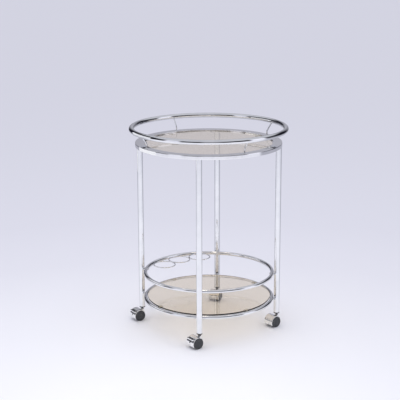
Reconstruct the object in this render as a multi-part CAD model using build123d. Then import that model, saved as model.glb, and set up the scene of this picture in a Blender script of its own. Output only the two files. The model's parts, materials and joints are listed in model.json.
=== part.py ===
"""Round two-tier bar cart: a chromed tube frame, two tinted glass shelves and four swivel casters.

The origin is on the floor under the middle of the shelves and +Z is up. The four legs stand on
the axes: front on -Y, right on +X, back on +Y and left on -X. Lengths are millimetres, angles
are degrees counted anticlockwise from +X as seen from above.
"""

from build123d import *
import os
from math import asin, cos, degrees, radians, sin

os.makedirs("parts", exist_ok=True)

# Legs
leg_angles = {"front": -90, "right": 0, "back": 90, "left": 180}
leg_circle_radius = 265.0
leg_diameter = 22.0
leg_wall = 1.2

# Tray ring at the top of the legs: a flat hollow rim with softly rounded corners
tray_height = 720.0
tray_ring_width = 34.0
tray_ring_depth = 14.0
tray_ring_wall = 1.5
tray_overhang = 1.0
tray_outer_round = 0.9
tray_inner_round = 0.6

# Gallery rail above the tray, carried by bent rod posts
rail_tube_diameter = 19.0
rail_tube_wall = 1.2
rail_rise = 51.5
rail_flare = 13.5
post_diameter = 5.0
post_straight = 16.0
post_bend_radius = 12.0
post_offset_angle = 37.0
post_landing_angle = 200.0
post_landing_share = 0.8

# Guard ring and shelf ring inside the legs
ring_tube_diameter = 14.0
ring_tube_wall = 1.2
ring_leg_gap = 1.5
shelf_rise = 13.5
guard_rise = 100.5

# Screws that hold the two lower rings to the legs
screw_diameter = 5.0
screw_head_diameter = 9.0
screw_head_height = 2.6
screw_head_round = 1.5
screw_socket_width = 3.0
screw_socket_depth = 1.4
screw_hole_clearance = 0.2
rivet_nut_diameter = 7.0
rivet_nut_length = 9.0
screw_tip = 1.5
spacer_diameter = 10.0

# Leg tops: a threaded plug in each leg on a stud under the tray ring
stud_diameter = 8.0
stud_length = 26.0
leg_plug_length = 30.0

# Glass shelves on welded tabs with clear bumpers
glass_thickness = 5.0
glass_edge_round = 0.8
top_glass_gap = 1.5
top_glass_recess = 4.0
lower_glass_gap = 0.5
lower_glass_rise = 9.5
tab_width = 22.0
tab_reach = 17.0
tab_thickness = 2.0
tab_nose_round = 5.5
tab_offset_angle = 45.0
bumper_diameter = 10.0
bumper_height = 2.0

# Wire bottle rings inside the guard ring
bottle_ring_wire = 4.0
bottle_ring_bore = 80.0
bottle_ring_middle_angle = 135.0
bottle_ring_spacing_gap = 0.6
bottle_ring_weld = 0.5
bottle_ring_sides = {"left": 1, "middle": 0, "right": -1}

# Casters: the heading is the way each one trails from its stem
caster_heading_angles = {"front": -136.0, "right": -133.0, "back": -102.0, "left": -141.0}
braked_casters = ["front", "left"]
wheel_diameter = 42.0
wheel_width = 15.5
wheel_edge_round = 1.2
wheel_rim_depth = 4.0
wheel_hub_radius = 6.5
wheel_web = 5.7
wheel_face_recess = 0.8
wheel_face_boss = 5.0
wheel_face_rim = 5.5
wheel_end_wall = 1.4
caster_trail = 20.0
caster_web = 13.0
wheel_side_gap = 0.7
hood_gap = 1.2
hood_wall = 1.8
hood_width = 43.0
hood_edge_round = 0.8
hood_start_angle = -28.0
hood_end_angle = 150.0
hood_headroom = 4.0
hub_radius = 9.0
boss_drop = 3.0
boss_length = 18.0
boss_edge_round = 1.0

# Axle, with a groove that the wheel snaps into
axle_diameter = 5.0
running_clearance = 0.05
axle_end_gap = 0.5
snap_setback = 3.0
snap_groove_width = 1.0
snap_groove_depth = 0.25
snap_bead_width = 0.6
snap_bead_height = 0.15

# Caster stem, its socket in the leg, and the small rings on it
socket_flange = 4.0
socket_length = 40.0
socket_edge_round = 1.0
stem_diameter = 8.0
stem_journal_diameter = 6.0
stem_top_gap = 3.0
stem_collar_diameter = 11.0
stem_collar_height = 2.0
stem_tail = 2.2
stem_tip_chamfer = 1.0
washer_diameter = 12.0
washer_thickness = 0.8
washer_gap = 0.3
clip_diameter = 10.0
clip_thickness = 0.8
clip_gap = 0.4
clip_opening_angle = 60.0
clip_groove_depth = 0.5
grip_ring_height = 2.0
grip_ring_setback = 8.0
grip_ring_proud = 0.5
grip_ring_play = 0.2

# Brake pedal, hinged between the wheels and reaching out through a window in the hood
brake_travel_angle = 8.0
brake_pivot_radius = 17.0
brake_pivot_angle = 62.0
brake_pin_diameter = 3.0
brake_eye_radius = 3.4
brake_arm_width = 5.0
brake_arm_height = 4.4
brake_slot_clearance = 0.5
brake_pad_gap = 0.5
brake_pad_start_angle = 31.5
brake_pad_end_angle = 50.0
brake_window_angle_below = 3.5
brake_window_angle_above = 8.0
brake_window_rim = 2.5
brake_entry_angle = 4.0
brake_entry_depth = 6.0
brake_side_clearance = 0.6
brake_tab_thickness = 5.5
brake_tab_proud = 5.5
brake_tab_slope_angle = 4.0
brake_tab_round = 1.6

# Places that follow from the sizes above
leg_inner_face = leg_circle_radius - leg_diameter / 2
leg_outer_face = leg_circle_radius + leg_diameter / 2
leg_bore = leg_diameter - 2 * leg_wall
tray_outer_radius = leg_outer_face + tray_overhang
tray_inner_radius = tray_outer_radius - tray_ring_width
tray_middle_radius = tray_outer_radius - tray_ring_width / 2
tray_underside = tray_height - tray_ring_depth
rail_radius = tray_outer_radius + rail_flare
rail_height = tray_height + rail_rise
wheel_radius = wheel_diameter / 2
hood_inner_radius = wheel_radius + hood_gap
hood_outer_radius = hood_inner_radius + hood_wall
hood_top = wheel_radius + hood_outer_radius
hood_sweep_angle = hood_end_angle - hood_start_angle
foot_height = hood_top + hood_headroom
leg_end = foot_height + socket_flange
shelf_height = leg_end + socket_length + shelf_rise
guard_height = shelf_height + guard_rise
ring_radius = leg_inner_face - ring_leg_gap - ring_tube_diameter / 2
ring_inner_edge = ring_radius - ring_tube_diameter / 2
screw_hole_diameter = screw_diameter + 2 * screw_hole_clearance
top_glass_height = tray_height - top_glass_recess
lower_glass_height = shelf_height + lower_glass_rise
boss_top = hood_top - boss_drop
boss_bottom = boss_top - boss_length
wheel_inner_face = caster_web / 2 + wheel_side_gap
wheel_outer_face = wheel_inner_face + wheel_width
bottle_ring_outer = bottle_ring_bore + 2 * bottle_ring_wire
bottle_ring_place = ring_inner_edge + bottle_ring_weld - bottle_ring_outer / 2


def save(node, *solids):
    """Write one node: a single solid, or like pieces as a group of separate solids."""
    export_step(solids[0] if len(solids) == 1 else Compound(list(solids)), f"parts/{node}.step")


def at(angle, radius=0.0, height=0.0):
    """Place with local +X pointing outwards from the cart's middle."""
    return Rot(0, 0, angle) * Pos(radius, 0, height)


def ring_tube(radius, diameter, height, wall=None, arc=360.0):
    """Round tube bent into a ring or part of one, solid where no wall is given."""
    section = Circle(diameter / 2)
    if wall:
        section -= Circle(diameter / 2 - wall)
    return revolve(Plane.XZ * Pos(radius, height) * section, Axis.Z, arc)


def upright(diameter, low, high):
    """Round bar on the local Z axis between two heights."""
    return Pos(0, 0, low) * extrude(Circle(diameter / 2), high - low)


def level(diameter, start, end):
    """Round bar on the local X axis between two distances."""
    return Pos(start, 0, 0) * Rot(0, 90, 0) * extrude(Circle(diameter / 2), end - start)


def flat_ring(outer_diameter, inner_diameter, low, height):
    """Flat washer on the local Z axis."""
    return upright(outer_diameter, low, low + height) - upright(inner_diameter, low, low + height)


def split_ring(outer_diameter, inner_diameter, low, height, opening):
    """Flat spring ring with a gap of the given angle on its +X side."""
    along = outer_diameter * cos(radians(opening / 2))
    aside = outer_diameter * sin(radians(opening / 2))
    wedge = Pos(0, 0, low) * extrude(Polygon((0, 0), (along, -aside), (along, aside), align=None), height)
    return flat_ring(outer_diameter, inner_diameter, low, height) - wedge


# ---------------------------------------------------------------- frame

def tray_ring_section(inset=0.0):
    """Half section of the tray ring: flat, with rounded corners, and inset for its hollow."""
    width = tray_ring_width - 2 * inset
    depth = tray_ring_depth - 2 * inset
    section = Pos(tray_middle_radius, tray_underside + tray_ring_depth / 2) * Rectangle(width, depth)
    for side, corner_round in ((-1, tray_outer_round), (0, tray_inner_round)):
        if corner_round > inset:
            section = fillet(section.vertices().group_by(Axis.X)[side], corner_round - inset)
    return section


def tray_ring():
    """Flat hollow rim that carries the top glass and caps the legs."""
    section = tray_ring_section() - tray_ring_section(tray_ring_wall)
    return revolve(Plane.XZ * section, Axis.Z)


def rail_post(angle):
    """Rod that stands on the tray ring and leans out to the inner side of the rail."""
    landing = post_landing_share * rail_tube_diameter / 2
    foot = (tray_middle_radius, 0, tray_height)
    kink = (tray_middle_radius, 0, tray_height + post_straight)
    end = (
        rail_radius + landing * cos(radians(post_landing_angle)),
        0,
        rail_height + landing * sin(radians(post_landing_angle)),
    )
    path = FilletPolyline(foot, kink, end, radius=post_bend_radius)
    rod = sweep(Plane(origin=path @ 0, z_dir=path % 0) * Circle(post_diameter / 2), path)
    return at(angle) * rod - ring_tube(rail_radius, rail_tube_diameter, rail_height)


def leg(angle):
    """Straight tube with a hole for a rivet nut at each lower ring."""
    tube = upright(leg_diameter, leg_end, tray_underside) - upright(leg_bore, leg_end, tray_underside)
    for height in (shelf_height, guard_height):
        tube -= Pos(0, 0, height) * level(rivet_nut_diameter, -leg_diameter, 0)
    return at(angle, leg_circle_radius) * tube


def lower_ring(height):
    """Guard ring or shelf ring: two halves welded between the legs, drilled for a screw at each leg."""
    half = at(tab_offset_angle) * ring_tube(ring_radius, ring_tube_diameter, height, ring_tube_wall, 180)
    drill = level(screw_hole_diameter, ring_inner_edge - ring_tube_wall, leg_circle_radius)
    for name in ("back", "left"):
        half -= at(leg_angles[name], 0, height) * drill
    return half + at(180) * half


def ring_spacer(angle, height):
    """Short sleeve between ring and leg, saddled to both."""
    sleeve = level(spacer_diameter, ring_radius, leg_circle_radius)
    sleeve -= level(screw_hole_diameter, ring_radius, leg_circle_radius)
    sleeve -= ring_tube(ring_radius, ring_tube_diameter, 0)
    sleeve -= Pos(leg_circle_radius, 0) * upright(leg_diameter, -spacer_diameter, spacer_diameter)
    return at(angle, 0, height) * sleeve


def rivet_nut(angle, height):
    """Threaded insert in the leg's wall."""
    nut = level(rivet_nut_diameter, leg_inner_face, leg_inner_face + rivet_nut_length)
    nut -= level(screw_diameter, leg_inner_face, leg_inner_face + rivet_nut_length)
    nut &= Pos(leg_circle_radius, 0) * upright(leg_diameter, -rivet_nut_diameter, rivet_nut_diameter)
    return at(angle, 0, height) * nut


def ring_screw(angle, height):
    """Round-head socket screw that runs from inside the ring into the leg."""
    head_start = ring_inner_edge - screw_head_height
    head = level(screw_head_diameter, head_start, ring_radius)
    head = fillet(head.edges().group_by(Axis.X)[0], screw_head_round)
    head -= ring_tube(ring_radius, ring_tube_diameter, 0)
    screw = head + level(screw_diameter, ring_inner_edge, leg_inner_face + rivet_nut_length + screw_tip)
    socket = extrude(RegularPolygon(screw_socket_width / 2, 6), screw_socket_depth)
    screw -= Pos(head_start, 0) * Rot(0, 90, 0) * socket
    return at(angle, 0, height) * screw


def bottle_ring(side):
    """Wire loop welded to the inside of the guard ring."""
    step = 2 * degrees(asin((bottle_ring_outer + bottle_ring_spacing_gap) / (2 * bottle_ring_place)))
    loop = ring_tube((bottle_ring_bore + bottle_ring_wire) / 2, bottle_ring_wire, 0)
    loop = at(bottle_ring_middle_angle + side * step, bottle_ring_place, guard_height) * loop
    return loop - ring_tube(ring_radius, ring_tube_diameter, guard_height)


# ---------------------------------------------------------------- glass shelves

def glass_disc(radius, top):
    """Tempered disc with softened edges."""
    disc = upright(2 * radius, top - glass_thickness, top)
    return fillet(disc.edges(), glass_edge_round)


def glass_tab(angle, outer_radius, glass_top):
    """Round-nosed plate under the glass, reaching out to the given radius and one width beyond."""
    plate = Rectangle(tab_reach + tab_width, tab_width, align=(Align.MIN, Align.CENTER))
    plate = fillet(plate.vertices().group_by(Axis.X)[0], tab_nose_round)
    top = glass_top - glass_thickness - bumper_height
    return at(angle, outer_radius - tab_reach, top) * extrude(plate, -tab_thickness)


def glass_bumper(angle, outer_radius, glass_top):
    """Clear soft disc between tab and glass."""
    low = glass_top - glass_thickness - bumper_height
    return at(angle, outer_radius - tab_reach / 2) * upright(bumper_diameter, low, low + bumper_height)


def top_tab(angle):
    """Tab welded to the straight inner wall of the tray ring."""
    plate = glass_tab(angle, tray_inner_radius, top_glass_height)
    return plate & upright(2 * tray_inner_radius, tray_underside, tray_height)


def lower_tab(angle):
    """Tab welded to the inner side of the shelf ring's tube."""
    plate = glass_tab(angle, ring_inner_edge, lower_glass_height)
    plate &= upright(2 * ring_radius, 0, lower_glass_height)
    return plate - ring_tube(ring_radius, ring_tube_diameter, shelf_height)


# ---------------------------------------------------------------- casters
# Each caster is drawn with its stem on the Z axis and its wheels trailing towards +X.

axle_line = Axis((caster_trail, 0, wheel_radius), (0, 1, 0))
side_plane = Plane(origin=(caster_trail, 0, wheel_radius), x_dir=(1, 0, 0), z_dir=(0, -1, 0))
turning_plane = Plane(origin=(caster_trail, 0, wheel_radius), x_dir=(0, 1, 0), z_dir=(1, 0, 0))
pivot_x = brake_pivot_radius * cos(radians(brake_pivot_angle))
pivot_z = brake_pivot_radius * sin(radians(brake_pivot_angle))


def caster_place(name):
    """Turn a caster to its heading and stand it under its leg."""
    return at(leg_angles[name], leg_circle_radius) * Rot(0, 0, caster_heading_angles[name] - leg_angles[name])


def sector(inner, outer, start, end):
    """Flat piece of a ring around the axle, between two angles above the trailing side."""
    with BuildSketch() as face:
        with BuildLine():
            far = CenterArc((0, 0), outer, start, end - start)
            near = CenterArc((0, 0), inner, start, end - start)
            Line(far @ 0, near @ 0)
            Line(far @ 1, near @ 1)
        make_face()
    return face.sketch


def across(sketch, width):
    """Solid with a side view given about the axle, centred on the caster's middle plane."""
    return extrude(side_plane * sketch, width / 2, both=True)


def brake_pocket():
    """Window in the hood for the pedal, slot in the web for its arm and the way in for the arm."""
    window_floor = wheel_radius - brake_slot_clearance
    window_start = brake_pad_start_angle - brake_window_angle_below
    window_end = brake_pad_end_angle + brake_window_angle_above
    window = sector(window_floor, hood_outer_radius + hood_wall, window_start, window_end)
    slot_inner = brake_pivot_radius - brake_eye_radius - 2 * brake_slot_clearance
    eye_angle = degrees(asin((brake_eye_radius + brake_slot_clearance) / brake_pivot_radius))
    slot = sector(slot_inner, hood_inner_radius, window_start, brake_pivot_angle + eye_angle)
    entry_floor = hood_outer_radius - brake_entry_depth
    entry = sector(entry_floor, hood_outer_radius + hood_wall, brake_entry_angle, window_start)
    arm_slot = across(slot + entry, brake_arm_width + 2 * brake_slot_clearance)
    return across(window, hood_width - 2 * brake_window_rim) + arm_slot


def web_outline():
    """Side view of the web: a half disc under the hood, a hub and a gusset out to the boss."""
    with BuildSketch() as outline:
        with BuildLine():
            rim = CenterArc((0, 0), hood_inner_radius + hood_wall / 2, hood_start_angle, hood_sweep_angle)
            Line(rim @ 1, rim @ 0)
        make_face()
        Circle(hub_radius)
        with BuildLine():
            Polyline(
                (-caster_trail, boss_bottom - wheel_radius),
                (-caster_trail, boss_top - boss_drop - wheel_radius),
                (0, hub_radius),
                (0, -hub_radius),
                (caster_web / 2 - caster_trail, boss_bottom - wheel_radius),
                close=True,
            )
        make_face()
    return outline.sketch


def caster_housing(braked):
    """One casting: hood over both wheels, web between them and boss for the stem."""
    hood = across(sector(hood_inner_radius, hood_outer_radius, hood_start_angle, hood_end_angle), hood_width)
    arcs = hood.edges().filter_by(GeomType.CIRCLE)
    hood = fillet([arc for arc in arcs if arc.radius > hood_outer_radius - hood_edge_round], hood_edge_round)
    boss = upright(caster_web, boss_bottom, boss_top)
    boss = fillet(boss.edges().group_by(Axis.Z)[-1], boss_edge_round)
    body = hood + across(web_outline(), caster_web) + boss
    body -= upright(stem_journal_diameter + 2 * running_clearance, boss_bottom, boss_top)
    body -= across(Circle(axle_diameter / 2), caster_web)
    if braked:
        body -= brake_pocket() + brake_pin()
    return body


def caster_axle():
    """Pin through the web, grooved near both ends."""
    half = wheel_outer_face - wheel_end_wall - axle_end_gap
    axle = across(Circle(axle_diameter / 2), 2 * half)
    core = axle_diameter / 2 - snap_groove_depth
    groove = across(Circle(axle_diameter / 2) - Circle(core), snap_groove_width)
    for side in (-1, 1):
        axle -= Pos(0, side * (half - snap_setback), 0) * groove
    return axle


def caster_wheel(side):
    """Moulded wheel: solid tread, dished outer face and a hub that snaps onto the axle."""
    bore = axle_diameter / 2 + running_clearance
    bore_end = wheel_outer_face - wheel_end_wall
    face_floor = wheel_outer_face - wheel_face_recess
    back_floor = wheel_inner_face + wheel_width - wheel_web
    rim_inner = wheel_radius - wheel_rim_depth
    outline = [
        (wheel_inner_face, bore),
        (bore_end, bore),
        (bore_end, 0),
        (wheel_outer_face, 0),
        (wheel_outer_face, wheel_face_boss),
        (face_floor, wheel_face_boss + wheel_face_recess),
        (face_floor, wheel_radius - wheel_face_rim),
        (wheel_outer_face, wheel_radius - wheel_face_rim + wheel_face_recess),
        (wheel_outer_face, wheel_radius),
        (wheel_inner_face, wheel_radius),
        (wheel_inner_face, rim_inner),
        (back_floor, rim_inner),
        (back_floor, wheel_hub_radius),
        (wheel_inner_face, wheel_hub_radius),
    ]
    outline = Polyline(*[(side * out, radius) for out, radius in outline], close=True)
    wheel = revolve(turning_plane * make_face(outline), axle_line)
    arcs = wheel.edges().filter_by(GeomType.CIRCLE)
    wheel = fillet([arc for arc in arcs if arc.radius > wheel_radius - wheel_edge_round], wheel_edge_round)
    bead = across(Circle(bore + snap_bead_height) - Circle(bore - snap_bead_height), snap_bead_width)
    return wheel + Pos(0, side * (bore_end - axle_end_gap - snap_setback), 0) * bead


def caster_stem():
    """Steel stem: journal in the boss, collar under the socket and grip ring groove near the top."""
    shoulder = boss_top + washer_gap + washer_thickness
    top = leg_end + socket_length - stem_top_gap
    clip_level = boss_bottom - clip_gap - clip_thickness
    stem = upright(stem_journal_diameter, clip_level - stem_tail, shoulder)
    stem += upright(stem_diameter, shoulder, top)
    stem = chamfer(stem.edges().group_by(Axis.Z)[-1], stem_tip_chamfer)
    stem += upright(stem_collar_diameter, foot_height - stem_collar_height, foot_height)
    clip_core = stem_journal_diameter - 2 * clip_groove_depth
    stem -= flat_ring(stem_journal_diameter, clip_core, clip_level, clip_thickness)
    grip_core = stem_diameter - 2 * grip_ring_proud
    return stem - flat_ring(stem_diameter, grip_core, top - grip_ring_setback, grip_ring_height)


def stem_socket():
    """Plastic plug in the leg's end, with a flange under the tube and a groove for the grip ring."""
    sleeve_top = leg_end + socket_length
    socket = upright(leg_diameter, foot_height, leg_end) + upright(leg_bore, leg_end, sleeve_top)
    socket = fillet(socket.edges().group_by(Axis.Z)[0], socket_edge_round)
    socket -= upright(stem_diameter, foot_height, sleeve_top - stem_top_gap)
    groove = sleeve_top - stem_top_gap - grip_ring_setback - grip_ring_play
    groove_diameter = stem_diameter + 2 * grip_ring_proud + 2 * grip_ring_play
    return socket - upright(groove_diameter, groove, groove + grip_ring_height + 2 * grip_ring_play)


def grip_ring():
    """Spring ring that keeps the stem in its socket."""
    low = leg_end + socket_length - stem_top_gap - grip_ring_setback
    outer_diameter = stem_diameter + 2 * grip_ring_proud
    inner_diameter = stem_diameter - 2 * grip_ring_proud
    return split_ring(outer_diameter, inner_diameter, low, grip_ring_height, clip_opening_angle)


def swivel_washer():
    """Thrust washer between the stem's shoulder and the boss."""
    return flat_ring(washer_diameter, stem_journal_diameter, boss_top + washer_gap, washer_thickness)


def stem_clip():
    """Retaining clip under the boss."""
    low = boss_bottom - clip_gap - clip_thickness
    inner_diameter = stem_journal_diameter - 2 * clip_groove_depth
    return split_ring(clip_diameter, inner_diameter, low, clip_thickness, clip_opening_angle)


def brake_pedal():
    """Flat shoe over both treads, arm to the pivot and tab outside the hood, shown released."""
    pad_radius = wheel_radius + brake_pad_gap
    pad = sector(wheel_radius, hood_outer_radius, brake_pad_start_angle, brake_pad_end_angle)
    middle_angle = (brake_pad_start_angle + brake_pad_end_angle) / 2
    root_radius = (pad_radius + hood_outer_radius) / 2
    root_x = root_radius * cos(radians(middle_angle))
    tab_length = hood_outer_radius + brake_tab_proud - root_radius
    tab = Pos(tab_length / 2, 0) * Rectangle(tab_length, brake_tab_thickness)
    tab = fillet(tab.vertices().group_by(Axis.X)[-1], brake_tab_round)
    tab = Pos(root_x, root_radius * sin(radians(middle_angle))) * Rot(0, 0, brake_tab_slope_angle) * tab
    below_shoe = Pos(pad_radius - wheel_radius, 0) * Rectangle(2 * wheel_radius, 2 * hood_outer_radius)
    pedal_width = hood_width - 2 * brake_window_rim - 2 * brake_side_clearance
    pedal = across((pad + tab) - Rot(0, 0, middle_angle) * below_shoe, pedal_width)
    arm = Pos((pivot_x + root_x) / 2, pivot_z) * Rectangle(root_x - pivot_x, brake_arm_height)
    pedal += across(arm + Pos(pivot_x, pivot_z) * Circle(brake_eye_radius), brake_arm_width)
    pedal -= across(Pos(pivot_x, pivot_z) * Circle(brake_pin_diameter / 2 + running_clearance), caster_web)
    pivot_line = Axis((caster_trail + pivot_x, 0, wheel_radius + pivot_z), (0, 1, 0))
    return pedal.rotate(pivot_line, -brake_travel_angle)


def brake_pin():
    """Pin pressed through the web's two cheeks."""
    return across(Pos(pivot_x, pivot_z) * Circle(brake_pin_diameter / 2), caster_web)


# ---------------------------------------------------------------- the cart

save("top_rail", ring_tube(rail_radius, rail_tube_diameter, rail_height, rail_tube_wall))
save("tray_ring", tray_ring())
for name, place in leg_angles.items():
    save(f"rail_post_{name}", rail_post(place + post_offset_angle))
    save(f"leg_{name}", leg(place))

leg_plug = flat_ring(leg_bore, stud_diameter, tray_underside - leg_plug_length, leg_plug_length)
leg_stud = upright(stud_diameter, tray_underside - stud_length, tray_underside)
save("leg_plugs", *[at(place, leg_circle_radius) * leg_plug for place in leg_angles.values()])
save("leg_studs", *[at(place, leg_circle_radius) * leg_stud for place in leg_angles.values()])

save("guard_ring", lower_ring(guard_height))
save("shelf_ring", lower_ring(shelf_height))
fixings = [(place, height) for height in (shelf_height, guard_height) for place in leg_angles.values()]
save("ring_spacers", *[ring_spacer(place, height) for place, height in fixings])
save("rivet_nuts", *[rivet_nut(place, height) for place, height in fixings])
save("ring_screws", *[ring_screw(place, height) for place, height in fixings])
for name, side in bottle_ring_sides.items():
    save(f"bottle_ring_{name}", bottle_ring(side))

tab_places = [place + tab_offset_angle for place in leg_angles.values()]
save("top_glass", glass_disc(tray_inner_radius - top_glass_gap, top_glass_height))
save("top_glass_tabs", *[top_tab(place) for place in tab_places])
top_bumpers = [glass_bumper(place, tray_inner_radius, top_glass_height) for place in tab_places]
save("top_glass_bumpers", *top_bumpers)
save("lower_glass", glass_disc(ring_inner_edge - lower_glass_gap, lower_glass_height))
save("lower_glass_tabs", *[lower_tab(place) for place in tab_places])
lower_bumpers = [glass_bumper(place, ring_inner_edge, lower_glass_height) for place in tab_places]
save("lower_glass_bumpers", *lower_bumpers)

for name in leg_angles:
    here = caster_place(name)
    braked = name in braked_casters
    save(f"stem_socket_{name}", here * stem_socket())
    save(f"caster_stem_{name}", here * caster_stem())
    save(f"caster_housing_{name}", here * caster_housing(braked))
    save(f"caster_axle_{name}", here * caster_axle())
    for side_name, side in (("left", 1), ("right", -1)):
        save(f"caster_wheel_{name}_{side_name}", here * caster_wheel(side))
    if braked:
        save(f"brake_pedal_{name}", here * brake_pedal())
        save(f"brake_pin_{name}", here * brake_pin())

save("grip_rings", *[caster_place(name) * grip_ring() for name in leg_angles])
save("swivel_washers", *[caster_place(name) * swivel_washer() for name in leg_angles])
save("stem_clips", *[caster_place(name) * stem_clip() for name in leg_angles])
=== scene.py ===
"""Round two-tier bar cart: chromed tube frame, two bronze glass shelves, four twin-wheel casters.

Metres, +Z up, with the origin on the floor under the middle of the shelves. The legs stand on the
axes: front on -Y, right on +X, back on +Y and left on -X.
"""

import json
import math

import bmesh
import bpy
from mathutils import Matrix, Vector

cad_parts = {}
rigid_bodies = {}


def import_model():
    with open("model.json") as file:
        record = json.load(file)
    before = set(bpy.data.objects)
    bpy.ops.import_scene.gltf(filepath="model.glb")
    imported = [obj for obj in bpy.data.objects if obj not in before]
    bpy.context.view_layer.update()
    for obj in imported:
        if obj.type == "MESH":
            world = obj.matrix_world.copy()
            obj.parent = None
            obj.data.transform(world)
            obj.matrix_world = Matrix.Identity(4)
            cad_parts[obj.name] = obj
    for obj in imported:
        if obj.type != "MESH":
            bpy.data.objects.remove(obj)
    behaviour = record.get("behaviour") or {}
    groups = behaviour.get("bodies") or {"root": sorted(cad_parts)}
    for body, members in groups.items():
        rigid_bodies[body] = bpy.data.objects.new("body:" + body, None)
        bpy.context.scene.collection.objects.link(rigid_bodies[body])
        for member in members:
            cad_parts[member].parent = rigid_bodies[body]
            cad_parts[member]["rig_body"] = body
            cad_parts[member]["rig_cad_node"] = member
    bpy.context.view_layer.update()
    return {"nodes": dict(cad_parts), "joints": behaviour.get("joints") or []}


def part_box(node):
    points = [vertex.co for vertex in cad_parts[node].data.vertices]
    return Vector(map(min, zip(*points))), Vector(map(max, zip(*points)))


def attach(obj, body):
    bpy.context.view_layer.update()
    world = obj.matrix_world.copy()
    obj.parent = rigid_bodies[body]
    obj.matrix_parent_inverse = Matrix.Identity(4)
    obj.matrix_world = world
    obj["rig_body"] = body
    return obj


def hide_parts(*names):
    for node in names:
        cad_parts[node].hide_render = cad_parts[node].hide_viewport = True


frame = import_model()

# ---- Camera
# It stands four metres off at about the height of a standing eye, tipped down, with a long lens.

camera_lens = bpy.data.cameras.new("camera")
camera_lens.lens = 97.31
camera_lens.sensor_width = 36
camera_lens.clip_end = 100
camera = bpy.data.objects.new("camera", camera_lens)
bpy.context.scene.collection.objects.link(camera)
camera.location = (0.5218, -3.9741, 1.4938)
camera.rotation_euler = [math.radians(turn) for turn in (75.9672, 0.1666, 7.9135)]
bpy.context.scene.camera = camera
bpy.context.scene.view_settings.view_transform = "Standard"

# ---- Studio room
# Bright metal sees pale walls above a dark band at eye level that is broken by pale openings. Paint
# and plastic meet only plain soft light, and the eye sees a plain pale backdrop.


def calc(tree, operation, first, second):
    """Result of one sum on two values, each a number or another node's output."""
    node = tree.nodes.new("ShaderNodeMath")
    node.operation = operation
    for socket, value in zip(node.inputs, (first, second)):
        if isinstance(value, float):
            socket.default_value = value
        else:
            tree.links.new(value, socket)
    return node.outputs[0]


def run(tree, value, start, end, low=0.0, high=1.0, kind="SMOOTHSTEP"):
    """Value that runs from low to high while another runs from start to end."""
    node = tree.nodes.new("ShaderNodeMapRange")
    node.interpolation_type = kind
    for socket, limit in zip(("From Min", "From Max", "To Min", "To Max"), (start, end, low, high)):
        node.inputs[socket].default_value = limit
    tree.links.new(value, node.inputs["Value"])
    return node.outputs[0]


def ramp(tree, value, stops):
    """Colour that runs through stops, each a place from 0 to 1 and a colour, in rising order."""
    node = tree.nodes.new("ShaderNodeValToRGB")
    for place, colour in stops[1:-1]:
        node.color_ramp.elements.new(place)
    for element, (place, colour) in zip(node.color_ramp.elements, stops):
        element.position = place
        element.color = colour
    tree.links.new(value, node.inputs[0])
    return node.outputs["Color"]


def blend(tree, share, first, second, kind="MIX"):
    """Colour mixed by a share from two, each a colour or another node's output."""
    node = tree.nodes.new("ShaderNodeMix")
    node.data_type = "RGBA"
    node.blend_type = kind
    tree.links.new(share, node.inputs["Factor"])
    for socket, colour in (("A", first), ("B", second)):
        if isinstance(colour, tuple):
            node.inputs[socket].default_value = colour
        else:
            tree.links.new(colour, node.inputs[socket])
    return node.outputs["Result"]


wall_colour = (0.61, 0.62, 0.67, 1)
backdrop = (0.67, 0.67, 0.76, 1)
soft_light = (0.98, 0.985, 1.0, 1)
band_top, walls_foot = 0.42, 0.60
blue_cast, least_blue = 1.12, 0.006
# Bearings in degrees to the right of straight in front, and how bright the band is there.
band_tones = (
    (-180, 0.43), (-167, 0.40), (-158, 0.20), (-150, 0.02), (-128, 0.01), (-112, 0.12),
    (-98, 0.16), (-88, 0.10), (-78, 0.0), (-60, 0.0), (-54, 0.85), (-37, 0.85), (-31, 0.0),
    (-6, 0.0), (2, 0.24), (20, 0.22), (29, 0.0), (67, 0.0), (73, 1.05), (92, 1.05), (99, 0.08),
    (116, 0.06), (126, 0.01), (150, 0.01), (164, 0.22), (180, 0.43),
)
room = bpy.data.worlds.new("studio room")
room.use_nodes = True
bpy.context.scene.world = room
tree = room.node_tree
tree.nodes.clear()
direction = tree.nodes.new("ShaderNodeSeparateXYZ")
tree.links.new(tree.nodes.new("ShaderNodeTexCoord").outputs["Generated"], direction.inputs[0])
forwards = calc(tree, "MULTIPLY", direction.outputs["Y"], -1.0)
bearing = calc(tree, "ARCTAN2", direction.outputs["X"], forwards)
band = ramp(tree, run(tree, bearing, -math.pi, math.pi, kind="LINEAR"), [
    ((angle + 180) / 360, (tone, tone, tone * blue_cast + least_blue, 1)) for angle, tone in band_tones])
above_band = run(tree, direction.outputs["Z"], band_top, walls_foot)
shown_in_metal = blend(tree, above_band, band, wall_colour)
path = tree.nodes.new("ShaderNodeLightPath")
# What a dull surface gathers is soft light, also where it comes through glass or off metal.
unscattered = calc(tree, "LESS_THAN", path.outputs["Diffuse Depth"], 0.5)
in_metal = calc(tree, "MULTIPLY", path.outputs["Is Glossy Ray"], unscattered)
straight = calc(tree, "MAXIMUM", path.outputs["Is Camera Ray"], path.outputs["Is Transmission Ray"])
by_eye = calc(tree, "MULTIPLY", straight, unscattered)
room_light = blend(tree, in_metal, soft_light, shown_in_metal)
background = tree.nodes.new("ShaderNodeBackground")
tree.links.new(blend(tree, by_eye, room_light, backdrop), background.inputs["Color"])
tree.links.new(background.outputs[0], tree.nodes.new("ShaderNodeOutputWorld").inputs["Surface"])

# ---- Lamps
# Three long strips under the ceiling and one soft box behind the camera, none of them seen in metal.

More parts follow.
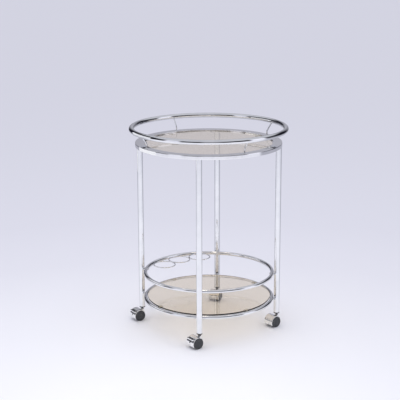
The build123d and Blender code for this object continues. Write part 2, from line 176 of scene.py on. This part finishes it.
strip_height = 3.1
lamps = [("ceiling strip", (0.2, 3.0), 5, (aside, 0, strip_height), 0) for aside in (-1.05, -0.25, 0.75)]
lamps.append(("soft box", (2.4, 1.0), 9, (0.2, -5.2, 2.6), 66))
for name, (width, length), power, place, tilt in lamps:
    lamp = bpy.data.lights.new(name, "AREA")
    lamp.shape = "RECTANGLE"
    lamp.size, lamp.size_y = width, length
    lamp.energy = power
    lamp = bpy.data.objects.new(name, lamp)
    bpy.context.scene.collection.objects.link(lamp)
    lamp.location = place
    lamp.rotation_euler = (math.radians(tilt), 0, 0)
    lamp.visible_glossy = False

# ---- Cards
# A small white card and, above and beyond it, a long black board stand to the left of the cart.
# They show only as reflections in metal and glass.

for name, tone, place, (height, length) in (
    ("pale_card", 1.0, (-1.05, 0.10, 0.73), (0.62, 0.90)),
    ("dark_board", 0.015, (-2.0, 0.85, 2.17), (0.85, 2.7)),
):
    bpy.ops.object.select_all(action="DESELECT")
    bpy.ops.mesh.primitive_plane_add(size=1, rotation=(0, math.pi / 2, 0))
    card = bpy.context.object
    card.name = name
    card.scale = (height, length, 1)
    bpy.ops.object.transform_apply(location=True, rotation=True, scale=True)
    card.data.transform(Matrix.Translation(place))
    paint = bpy.data.materials.new(name)
    paint.use_nodes = True
    paint_shader = paint.node_tree.nodes["Principled BSDF"]
    paint_shader.inputs["Base Color"].default_value = (tone, tone, tone, 1)
    paint_shader.inputs["Roughness"].default_value = 1.0
    card.data.materials.append(paint)
    card.visible_camera = card.visible_diffuse = False
    card.visible_transmission = card.visible_shadow = False

# ---- Studio floor
# A wide sheet of pale paper under a painted pool of light, nearly white around the cart and greyer
# further off. Its painted reflection in metal and glass is paler further out, painted darker from under
# the cart to behind it, and ends where the dark band begins.


def distance(tree, place, centre):
    """Distance of a place from a fixed point."""
    node = tree.nodes.new("ShaderNodeVectorMath")
    node.operation = "DISTANCE"
    tree.links.new(place, node.inputs[0])
    node.inputs[1].default_value = centre
    return node.outputs["Value"]


def part_shown(tree, share, usual, other):
    """Show a material's usual shader, and another one by a share."""
    node = tree.nodes.new("ShaderNodeMixShader")
    for socket, value in zip(node.inputs, (share, usual, other)):
        tree.links.new(value, socket)
    tree.links.new(node.outputs[0], tree.nodes["Material Output"].inputs["Surface"])


# Painted light: the paper's colour is lighter inside a painted pool of light around the cart.
paper_in_painted_light, paper_out_of_painted_light = (0.90, 0.902, 0.97, 1), (0.665, 0.665, 0.755, 1)
# Places on the way from the painted pool of light to the greyer paper, and the share of the greyer colour
# there.
paper_stops = ((0.0, 0.0), (0.19, 0.40), (0.44, 0.85), (0.66, 1.0), (1.0, 1.0))
painted_light_centre, pale_reach, grey_reach = (0, -1.0, 0), 0.4, 3.6
shrunk_in_metal = 0.35
painted_dull_in_metal, dull_from, dull_to = (0.58, 0.58, 0.60, 1), -0.15, 0.4
end_from, end_to = 3.6, 4.5
bpy.ops.object.select_all(action="DESELECT")
bpy.ops.mesh.primitive_plane_add(size=60)
floor = bpy.context.object
floor.name = "studio_floor"
paper = bpy.data.materials.new("studio paper")
paper.use_nodes = True
tree = paper.node_tree
paper_shader = tree.nodes["Principled BSDF"]
paper_shader.inputs["Roughness"].default_value = 0.9
paper_shader.inputs["Specular IOR Level"].default_value = 0.0
place = tree.nodes.new("ShaderNodeTexCoord").outputs["Object"]
path = tree.nodes.new("ShaderNodeLightPath")
mirrored = calc(tree, "SUBTRACT", path.outputs["Is Glossy Ray"], path.outputs["Is Transmission Ray"])
mirrored.node.use_clamp = True
# Painted reflection: metal and glass see the paper paler further out.
shrinking = run(tree, mirrored, 0.0, 1.0, 1.0, shrunk_in_metal, kind="LINEAR")
outwards = calc(tree, "MULTIPLY", distance(tree, place, painted_light_centre), shrinking)
tone = ramp(tree, run(tree, outwards, pale_reach, grey_reach, kind="LINEAR"), [
    (stop, [near + (far - near) * share for near, far in zip(paper_in_painted_light, paper_out_of_painted_light)])
    for stop, share in paper_stops])
axes = tree.nodes.new("ShaderNodeSeparateXYZ")
tree.links.new(place, axes.inputs[0])
# Painted reflection: metal and glass see the paper darker from under the cart to behind it.
dull = calc(tree, "MULTIPLY", run(tree, axes.outputs["Y"], dull_from, dull_to), mirrored)
tree.links.new(blend(tree, dull, tone, painted_dull_in_metal, "MULTIPLY"), paper_shader.inputs["Base Color"])
past_end = calc(tree, "MULTIPLY", run(tree, distance(tree, place, (0, 0, 0)), end_from, end_to), mirrored)
clear = tree.nodes.new("ShaderNodeBsdfTransparent")
part_shown(tree, past_end, paper_shader.outputs[0], clear.outputs[0])
floor.data.materials.append(paper)

# ---- Top rail
# Round steel tube rolled into one ring, butt welded, ground smooth and chrome plated. The plating
# is bright all over, with the faintest finger marks.

# Points less than a hair apart count as one.
hair = 0.00001


def finish(name, slot, **sockets):
    """New material on one shader, with the given plain values on its sockets."""
    material = bpy.data.materials.new(name)
    material.use_nodes = True
    shader = material.node_tree.nodes["Principled BSDF"]
    for socket, value in sockets.items():
        shader.inputs[socket.replace("_", " ")].default_value = value
    material["slot"] = slot
    return material


def fine_noise(tree, scale, detail):
    """Noise of a given fineness in the piece's own space."""
    node = tree.nodes.new("ShaderNodeTexNoise")
    node.inputs["Scale"].default_value = scale
    node.inputs["Detail"].default_value = detail
    tree.links.new(tree.nodes.new("ShaderNodeTexCoord").outputs["Object"], node.inputs["Vector"])
    return node.outputs["Fac"]


def grain(material, scale, low, high, socket, detail=4.0):
    """Let fine noise drive a socket of a material between two numbers or two colours."""
    tree = material.node_tree
    low, high = (end if isinstance(end, tuple) else (end, end, end, 1) for end in (low, high))
    varied = ramp(tree, fine_noise(tree, scale, detail), ((0.35, low), (0.65, high)))
    tree.links.new(varied, tree.nodes["Principled BSDF"].inputs[socket])


def ripple(material, scale, height):
    """Fine relief of a given height on a material."""
    tree = material.node_tree
    bump = tree.nodes.new("ShaderNodeBump")
    bump.inputs["Strength"].default_value = 1.0
    bump.inputs["Distance"].default_value = height
    tree.links.new(fine_noise(tree, scale, detail=2.0), bump.inputs["Height"])
    tree.links.new(bump.outputs[0], tree.nodes["Principled BSDF"].inputs["Normal"])


def pick(kind, wanted):
    """In edit mode, select the faces, edges or verts whose middle and part pass a test."""
    bpy.ops.mesh.select_mode(type={"faces": "FACE", "edges": "EDGE", "verts": "VERT"}[kind])
    bpy.ops.mesh.select_all(action="DESELECT")
    mesh = bmesh.from_edit_mesh(bpy.context.object.data)
    for part in getattr(mesh, kind):
        corners = [part.co] if kind == "verts" else [corner.co for corner in part.verts]
        middle = sum(corners, Vector()) / len(corners)
        part.select_set(bool(wanted(middle, part)))
    mesh.select_flush_mode()
    bmesh.update_edit_mesh(bpy.context.object.data)


def named(name):
    """Name the piece just added, put its place into its mesh and open it for editing."""
    piece = bpy.context.object
    piece.name = piece.data.name = name
    bpy.ops.object.transform_apply(location=True, rotation=True, scale=True)
    bpy.ops.object.mode_set(mode="EDIT")
    return piece


def close_seams():
    """Join doubled points and turn all the faces outwards."""
    bpy.ops.mesh.select_all(action="SELECT")
    bpy.ops.mesh.remove_doubles(threshold=hair)
    bpy.ops.mesh.normals_make_consistent(inside=False)


def coat(piece, *materials):
    """Give a piece these materials in place of its own."""
    piece.data.materials.clear()
    for material in materials:
        piece.data.materials.append(material)


def put(piece, material, body, *stands_for, smooth=40):
    """Leave edit mode, shade, finish and mount a piece, and hide the solids that it stands for."""
    if bpy.context.mode != "OBJECT":
        bpy.ops.object.mode_set(mode="OBJECT")
    bpy.ops.object.shade_smooth_by_angle(angle=math.radians(smooth))
    piece.modifiers.new("flat faces", "WEIGHTED_NORMAL").keep_sharp = True
    bpy.ops.object.modifier_apply(modifier="flat faces")
    coat(piece, material)
    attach(piece, body)
    if stands_for:
        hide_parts(*stands_for)


def bent_ring(name, node, weld_angle, steps=288, sides=36):
    """Tube rolled into a ring as large as its node, with a weld ground just hollow at one place."""
    weld_half_width, weld_hollow = 0.0022, 0.00012
    low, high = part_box(node)
    tube_radius = (high.z - low.z) / 2
    bend_radius = (high.x - low.x) / 2 - tube_radius
    middle = (low + high) / 2
    bpy.ops.object.select_all(action="DESELECT")
    bpy.ops.mesh.primitive_circle_add(
        vertices=sides, radius=tube_radius, location=(bend_radius, 0, 0), rotation=(math.pi / 2, 0, 0))
    piece = named(name)
    bpy.ops.mesh.select_all(action="SELECT")
    bpy.ops.mesh.spin(steps=steps, angle=math.tau, center=(0, 0, 0), axis=(0, 0, 1))
    close_seams()
    pick("edges", lambda at, edge: at.x > 0 and all(abs(end.co.y) < hair for end in edge.verts))
    bpy.ops.mesh.bevel(offset=weld_half_width, segments=4)
    pick("verts", lambda at, vert: at.x > 0 and abs(at.y) < hair)
    bpy.ops.transform.shrink_fatten(value=-weld_hollow)
    bpy.ops.object.mode_set(mode="OBJECT")
    piece.data.transform(Matrix.Translation(middle) @ Matrix.Rotation(math.radians(weld_angle), 4, "Z"))
    return piece


chrome = finish("bright chrome", "chromed_tube", Metallic=1.0)
grain(chrome, 26, (0.80, 0.81, 0.83, 1), (0.86, 0.866, 0.88, 1), "Base Color")
grain(chrome, 55, 0.03, 0.075, "Roughness")
put(bent_ring("gallery_rail", "top_rail", weld_angle=122), chrome, "cart", "top_rail")

# ---- Tray ring
# Flat steel tube, thirty-four by fourteen, rolled on its flat into the ring that frames the top
# glass. Its corners are barely rounded, its top has a slight crown, and its chrome is painted brighter
# than the round tube's as a painted highlight.

flat_chrome_painted_bright = finish("flat tube chrome", "chromed_tube", Metallic=1.0)
# Painted highlight: a brighter copy of the tube chrome.
grain(flat_chrome_painted_bright, 26, (0.92, 0.925, 0.935, 1), (0.96, 0.962, 0.965, 1), "Base Color")
grain(flat_chrome_painted_bright, 55, 0.03, 0.075, "Roughness")
ring_low, ring_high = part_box("tray_ring")
ring_width, ring_depth = 0.034, ring_high.z - ring_low.z
ring_radius = ring_high.x - ring_width / 2
ring_height = (ring_low.z + ring_high.z) / 2
outer_round, inner_round = 0.0009, 0.0006
longest_round, crown_fall = 0.005, 0.00025
bpy.ops.object.select_all(action="DESELECT")
bpy.ops.mesh.primitive_plane_add(
    size=1, location=(ring_radius, 0, ring_height), rotation=(math.pi / 2, 0, 0))
bpy.context.object.scale = (ring_width, ring_depth, 1)
tray_rim = named("tray_rim")
bpy.ops.mesh.delete(type="ONLY_FACE")
for size, steps, outer in ((outer_round, 4, True), (inner_round, 3, False)):
    pick("verts", lambda at, vert, outer=outer: (at.x > ring_radius) == outer)
    bpy.ops.mesh.bevel(offset=size, segments=steps, affect="VERTICES")
pick("edges", lambda at, edge: edge.calc_length() > longest_round)
bpy.ops.mesh.subdivide(number_cuts=7)
for vert in bmesh.from_edit_mesh(tray_rim.data).verts:
    if vert.co.z > ring_high.z - hair:
        reach = (vert.co.x - ring_radius) / (ring_width / 2)
        vert.co.z -= crown_fall * reach * reach
bpy.ops.mesh.select_all(action="SELECT")
bpy.ops.mesh.spin(steps=288, angle=math.tau, center=(0, 0, 0), axis=(0, 0, 1))
close_seams()
put(tray_rim, flat_chrome_painted_bright, "cart", "tray_ring")

# ---- Rail posts
# Five millimetre chromed rod, four alike. Each stands on the tray ring, bends outwards after sixteen
# millimetres and ends on the inner side of the rail, with a small weld fillet at both ends.


def copied(pattern, name, placing):
    """Copy of a pattern with its own mesh, moved into place and ready for its finish."""
    piece = pattern.copy()
    piece.data = pattern.data.copy()
    piece.name = piece.data.name = name
    bpy.context.scene.collection.objects.link(piece)
    bpy.ops.object.select_all(action="DESELECT")
    piece.select_set(True)
    bpy.context.view_layer.objects.active = piece
    piece.data.transform(placing)
    return piece


wire_chrome = finish("wire chrome", "chromed_wire", Metallic=1.0)
grain(wire_chrome, 40, (0.80, 0.81, 0.835, 1), (0.87, 0.875, 0.89, 1), "Base Color")
grain(wire_chrome, 90, 0.05, 0.11, "Roughness")
rail_low, rail_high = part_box("top_rail")
rod_radius, straight_foot, bend_radius, lean = 0.0025, 0.016, 0.012, math.radians(35.4)
foot_sink, head_sink, head_drop = 0.0006, 0.0018, 0.0024
bend_start = ring_high.z + straight_foot - bend_radius * math.tan(lean / 2)
head_height = (rail_low.z + rail_high.z) / 2 - head_drop
leaning = Vector((math.sin(lean), 0, math.cos(lean)))
# Steps of a weld fillet: how far each is from the metal, and how many rods wide.
fillet = ((0.0, 1.75), (0.0006, 1.42), (0.0013, 1.17), (0.0024, 1.0))
bpy.ops.object.select_all(action="DESELECT")
bpy.ops.mesh.primitive_circle_add(
    vertices=20, radius=rod_radius, location=(ring_radius, 0, ring_high.z - foot_sink))
rod = named("rail_post_pattern")
bpy.ops.mesh.select_all(action="SELECT")
widest = fillet[0][1]
bpy.ops.transform.resize(value=(widest, widest, 1), center_override=(ring_radius, 0, 0))
for (rise, size), (before, last) in zip(fillet[1:], fillet):
    step = rise - before + foot_sink / (len(fillet) - 1)
    bpy.ops.mesh.extrude_region_move(TRANSFORM_OT_translate={"value": (0, 0, step)})
    bpy.ops.transform.resize(value=(size / last, size / last, 1), center_override=(ring_radius, 0, 0))
risen = max(vert.co.z for vert in bmesh.from_edit_mesh(rod.data).verts)
bpy.ops.mesh.extrude_region_move(TRANSFORM_OT_translate={"value": (0, 0, bend_start - risen)})
bpy.ops.mesh.spin(
    steps=8, angle=-lean, center=(ring_radius + bend_radius, 0, bend_start), axis=(0, 1, 0))
tip = [vert.co.copy() for vert in bmesh.from_edit_mesh(rod.data).verts if vert.select]
tip = sum(tip, Vector()) / len(tip)
here = tip + leaning * ((head_height - tip.z) / leaning.z - fillet[-1][0] - head_sink)
bpy.ops.mesh.extrude_region_move(TRANSFORM_OT_translate={"value": here - tip})
for (rise, size), (after, last) in zip(fillet[-2::-1], fillet[::-1]):
    step = leaning * (after - rise)
    here = here + step
    bpy.ops.mesh.extrude_region_move(TRANSFORM_OT_translate={"value": step})
    bpy.ops.transform.resize(value=(size / last,) * 3, center_override=here)
bpy.ops.mesh.extrude_region_move(TRANSFORM_OT_translate={"value": leaning * head_sink})
bpy.ops.mesh.select_all(action="DESELECT")
bpy.ops.mesh.select_non_manifold()
bpy.ops.mesh.fill_holes(sides=0)
close_seams()
bpy.ops.object.mode_set(mode="OBJECT")
for name, angle in (("front", -53), ("right", 37), ("back", 127), ("left", 217)):
    post = copied(rod, f"rail_post_{name}_rod", Matrix.Rotation(math.radians(angle), 4, "Z"))
    put(post, wire_chrome, "cart", f"rail_post_{name}", smooth=60)
bpy.data.objects.remove(rod)

# ---- Legs
# Twenty-two millimetre chromed tube, cut square and standing open at its foot, where the caster
# socket is pressed in. A stud under the tray ring holds the top.


def upright(name, node, sides):
    """Solid cylinder as large as its node, open for editing."""
    low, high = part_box(node)
    bpy.ops.object.select_all(action="DESELECT")
    bpy.ops.mesh.primitive_cylinder_add(
        vertices=sides, radius=(high.x - low.x) / 2, depth=high.z - low.z,
        location=(low + high) / 2, end_fill_type="NGON")
    return named(name)


tube_wall, cut_edge_round = 0.0012, 0.0003
for name in ("front", "right", "back", "left"):
    leg = upright(f"leg_{name}_tube", f"leg_{name}", sides=64)
    pick("faces", lambda at, face: abs(face.normal.z) > 0.9)
    bpy.ops.mesh.inset(thickness=tube_wall)
    bpy.ops.mesh.delete(type="FACE")
    pick("edges", lambda at, edge: edge.is_boundary)
    bpy.ops.mesh.bridge_edge_loops()
    pick("edges", lambda at, edge: edge.calc_face_angle(0) > 1)
    bpy.ops.mesh.bevel(offset=cut_edge_round, segments=2)
    close_seams()
    put(leg, chrome, "cart", f"leg_{name}")

# ---- Guard ring and shelf ring
# Two rings of fourteen millimetre tube inside the legs, butt welded and chromed. A short sleeve
# and a round-head screw fix each one to each leg.

put(bent_ring("guard_ring_tube", "guard_ring", weld_angle=66), chrome, "cart", "guard_ring")
put(bent_ring("shelf_ring_tube", "shelf_ring", weld_angle=66), chrome, "cart", "shelf_ring")

# ---- Bottle loops
# Three loops of four millimetre chromed wire in a row inside the guard ring, for a bottle each.
# Each is butt welded, and a bead of weld holds it to the ring.

bead_radius, bead_stretch, bead_overlap = 0.0021, 2.6, 0.0004
wave_height, wave_turns = 0.10, 2600
wire_loop = bent_ring("bottle_loop_pattern", "bottle_ring_left", weld_angle=200, steps=96, sides=16)
low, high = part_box("bottle_ring_left")
first_middle = (low + high) / 2
bpy.ops.object.select_all(action="DESELECT")
bpy.ops.mesh.primitive_uv_sphere_add(segments=20, ring_count=14, radius=bead_radius)
bead = named("loop_weld_pattern")
for vert in bmesh.from_edit_mesh(bead.data).verts:
    vert.co.y *= bead_stretch
    vert.co.z *= 1 + wave_height * math.cos(vert.co.y * wave_turns)
bpy.ops.object.mode_set(mode="OBJECT")
for name in ("left", "middle", "right"):
    node = f"bottle_ring_{name}"
    low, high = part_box(node)
    middle = (low + high) / 2
    loop = copied(wire_loop, f"bottle_loop_{name}", Matrix.Translation(middle - first_middle))
    put(loop, wire_chrome, "cart", node)
    reach = middle.xy.length + (high.x - low.x) / 2 - bead_overlap
    turn = Matrix.Rotation(math.atan2(middle.y, middle.x), 4, "Z")
    placing = Matrix.Translation((0, 0, middle.z)) @ turn @ Matrix.Translation((reach, 0, 0))
    put(copied(bead, f"loop_weld_{name}", placing), wire_chrome, "cart", smooth=180)
bpy.data.objects.remove(wire_loop)
bpy.data.objects.remove(bead)

# ---- Glass shelves
# Two discs of five millimetre bronze tempered glass with ground and polished edges. The top one
# lies in the tray ring, and the lower one on the shelf ring's tabs.

bronze = finish("bronze glass", "bronze_glass", Roughness=0.0, IOR=1.5, Transmission_Weight=1.0)
grain(bronze, 3, (0.945, 0.863, 0.725, 1), (0.96, 0.878, 0.745, 1), "Base Color", detail=2.0)
tree = bronze.node_tree
path = tree.nodes.new("ShaderNodeLightPath")
clear = tree.nodes.new("ShaderNodeBsdfTransparent")
clear.inputs["Color"].default_value = (0.90, 0.89, 0.845, 1)
tinted = tree.nodes["Principled BSDF"]
part_shown(tree, path.outputs["Is Shadow Ray"], tinted.outputs[0], clear.outputs[0])
glass_edge_round = 0.0009
for name in ("top_glass", "lower_glass"):
    disc = upright(f"{name}_disc", name, sides=256)
    pick("edges", lambda at, edge: abs(edge.verts[0].co.z - edge.verts[1].co.z) < hair)
    bpy.ops.mesh.bevel(offset=glass_edge_round, segments=3)
    close_seams()
    put(disc, bronze, "cart", name, smooth=30)

# ---- Glass tabs, bumpers and fixings
# Small plates welded inside the rings carry the glass on clear soft bumpers. Sleeves, screws, nuts,
# plugs, studs and clips are bought parts in chrome or bright zinc.

zinc = finish("bright zinc", "zinc_steel", Metallic=1.0)
grain(zinc, 300, (0.50, 0.50, 0.52, 1), (0.62, 0.62, 0.64, 1), "Base Color")
grain(zinc, 220, 0.22, 0.38, "Roughness")
screw_chrome = finish("screw chrome", "chromed_screw", Metallic=1.0)
grain(screw_chrome, 120, (0.76, 0.77, 0.80, 1), (0.85, 0.86, 0.88, 1), "Base Color")
grain(screw_chrome, 160, 0.06, 0.14, "Roughness")
soft_clear = finish("clear bumper", "clear_bumper", IOR=1.45, Transmission_Weight=0.6)
grain(soft_clear, 200, (0.80, 0.78, 0.70, 1), (0.90, 0.88, 0.80, 1), "Base Color")
grain(soft_clear, 400, 0.25, 0.45, "Roughness")
for own, fixings in (
    (wire_chrome, ("top_glass_tabs", "lower_glass_tabs")),
    (soft_clear, ("top_glass_bumpers", "lower_glass_bumpers")),
    (screw_chrome, ("ring_spacers", "ring_screws")),
    (zinc, ("rivet_nuts", "leg_plugs", "leg_studs", "grip_rings", "stem_clips")),
):
    for node in fixings:
        coat(frame["nodes"][node], own)

# ---- Casters
# Twin-wheel swivel casters, all of one pattern: a chromed hood casting over two black nylon wheels
# on a steel axle, and a steel stem in a black socket.

cast_chrome = finish("cast chrome", "chromed_casting", Metallic=1.0)
grain(cast_chrome, 90, (0.85, 0.85, 0.845, 1), (0.92, 0.92, 0.92, 1), "Base Color")
grain(cast_chrome, 140, 0.07, 0.16, "Roughness")
ripple(cast_chrome, 160, 0.00002)
nylon = finish("black nylon", "black_wheel", IOR=1.53)
grain(nylon, 180, (0.022, 0.023, 0.027, 1), (0.045, 0.047, 0.054, 1), "Base Color")
grain(nylon, 260, 0.34, 0.52, "Roughness")
ripple(nylon, 1500, 0.00003)
stem_steel = finish("dark stem steel", "zinc_steel", Metallic=1.0)
grain(stem_steel, 240, (0.20, 0.20, 0.215, 1), (0.29, 0.29, 0.30, 1), "Base Color")
grain(stem_steel, 260, 0.24, 0.40, "Roughness")
socket_black = finish("socket black", "black_socket", IOR=1.5)
grain(socket_black, 220, (0.016, 0.016, 0.018, 1), (0.03, 0.03, 0.034, 1), "Base Color")
grain(socket_black, 300, 0.42, 0.6, "Roughness")


def softened(node, material, body, edge=0.0004):
    """Copy of a solid with its flat faces made whole and its sharp edges slightly rounded."""
    piece = copied(frame["nodes"][node], f"{node}_part", Matrix())
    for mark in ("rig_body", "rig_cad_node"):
        if mark in piece:
            del piece[mark]
    piece.parent = None
    bpy.ops.object.mode_set(mode="EDIT")
    bpy.ops.mesh.select_all(action="SELECT")
    bpy.ops.mesh.remove_doubles(threshold=0.000002)
    bpy.ops.mesh.dissolve_limited(angle_limit=math.radians(0.5))
    bpy.ops.object.mode_set(mode="OBJECT")
    rounding = piece.modifiers.new("edges", "BEVEL")
    rounding.width, rounding.segments = edge, 2
    rounding.limit_method, rounding.angle_limit = "ANGLE", math.radians(40)
    bpy.ops.object.modifier_apply(modifier="edges")
    put(piece, material, body, node, smooth=35)
    return piece


wheel_radius, wheel_width, tread_round = 0.021, 0.0155, 0.0012
rim_width, step_width, face_recess, dish_width = 0.0042, 0.0006, 0.0008, 0.0102
inner_rim_width, inner_depth, inner_dish_width = 0.004, 0.0098, 0.0105
bpy.ops.object.select_all(action="DESELECT")
bpy.ops.mesh.primitive_cylinder_add(
    vertices=72, radius=wheel_radius, depth=wheel_width, end_fill_type="NGON")
wheel_pattern = named("wheel_pattern")
# The outer face is dished between its rim and its middle.
pick("faces", lambda at, face: face.normal.z > 0.9)
bpy.ops.mesh.inset(thickness=rim_width)
bpy.ops.mesh.inset(thickness=step_width)
bpy.ops.transform.translate(value=(0, 0, -face_recess))
bpy.ops.mesh.inset(thickness=dish_width)
bpy.ops.mesh.inset(thickness=step_width)
bpy.ops.transform.translate(value=(0, 0, face_recess))
# The inner face is hollow between its rim and its hub.
pick("faces", lambda at, face: face.normal.z < -0.9)
bpy.ops.mesh.inset(thickness=inner_rim_width)
bpy.ops.mesh.extrude_region_move(TRANSFORM_OT_translate={"value": (0, 0, inner_depth)})
bpy.ops.mesh.inset(thickness=inner_dish_width)
bpy.ops.mesh.extrude_region_move(TRANSFORM_OT_translate={"value": (0, 0, -inner_depth)})
pick("edges", lambda at, edge: min(end.co.xy.length for end in edge.verts) > wheel_radius - hair
     and abs(edge.verts[0].co.z - edge.verts[1].co.z) < hair)
bpy.ops.mesh.bevel(offset=tread_round, segments=4)
close_seams()
bpy.ops.object.mode_set(mode="OBJECT")
coat(frame["nodes"]["swivel_washers"], stem_steel)
joints = {joint["name"]: joint for joint in frame["joints"]}
for name in ("front", "right", "back", "left"):
    coat(frame["nodes"][f"caster_stem_{name}"], stem_steel)
    coat(frame["nodes"][f"caster_axle_{name}"], stem_steel)
    softened(f"stem_socket_{name}", socket_black, "cart")
    softened(f"caster_housing_{name}", cast_chrome, f"caster_{name}")
    for side, way in (("left", 1), ("right", -1)):
        node = f"caster_wheel_{name}_{side}"
        axle = Vector(joints[f"wheel_{name}_{side}_spin"]["axis"]).normalized() * way
        low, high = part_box(node)
        turn = axle.to_track_quat("Z", "X").to_matrix().to_4x4()
        placing = Matrix.Translation((low + high) / 2) @ turn
        wheel = copied(wheel_pattern, f"wheel_{name}_{side}", placing)
        put(wheel, nylon, f"wheel_{name}_{side}", node, smooth=35)
bpy.data.objects.remove(wheel_pattern)

# ---- Brake pedals
# The front and left casters have one each, on a steel pin in the hood's slot. The pressed face of the
# tab is black, the walls of the slot are painted black as painted shade, and the rest is plated like the
# hood.

# The pedal's own black, also used as painted shade on the walls of the hood's slot.
pedal_black_and_slot_shade = finish("black moulding", "black_pedal", IOR=1.5)
grain(pedal_black_and_slot_shade, 220, (0.016, 0.016, 0.018, 1), (0.03, 0.03, 0.034, 1), "Base Color")
grain(pedal_black_and_slot_shade, 300, 0.42, 0.6, "Roughness")
ripple(pedal_black_and_slot_shade, 1800, 0.00003)
# Distances from the middle of the axle: out from its line, along it, towards the tab and up.
hood_radius = 0.024
tab_start, facing_up = hood_radius + 0.0004, 0.6
slot_end, slot_half_width, slot_start = hood_radius - 0.0001, 0.0031, 0.015
slot_foot, slot_top = 0.001, 0.0115
for name in ("front", "left"):
    pedal = softened(f"brake_pedal_{name}", pedal_black_and_slot_shade, f"brake_{name}", edge=0.0003)
    hood = bpy.data.objects[f"caster_housing_{name}_part"]
    coat(frame["nodes"][f"brake_pin_{name}"], zinc)
    spin = joints[f"wheel_{name}_left_spin"]
    hub, axle = Vector(spin["pos_m"]), Vector(spin["axis"]).normalized()
    low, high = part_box(f"brake_pedal_{name}")
    tail = (low + high) / 2 - hub
    tail = Vector((tail.x, tail.y, 0)).normalized()
    for piece in (pedal, hood):
        coat(piece, cast_chrome, pedal_black_and_slot_shade)
        for face in piece.data.polygons:
            away = face.center - hub
            aside = away.dot(axle)
            out = (away - axle * aside).length
            if piece is pedal:
                black = out >= tab_start and face.normal.z >= facing_up
            else:
                # Painted shade: the walls of the narrow slot are coated black for the shade inside it.
                black = out < slot_end and abs(aside) < slot_half_width
                black = black and away.dot(tail) > slot_start and slot_foot < away.z < slot_top
            face.material_index = 1 if black else 0
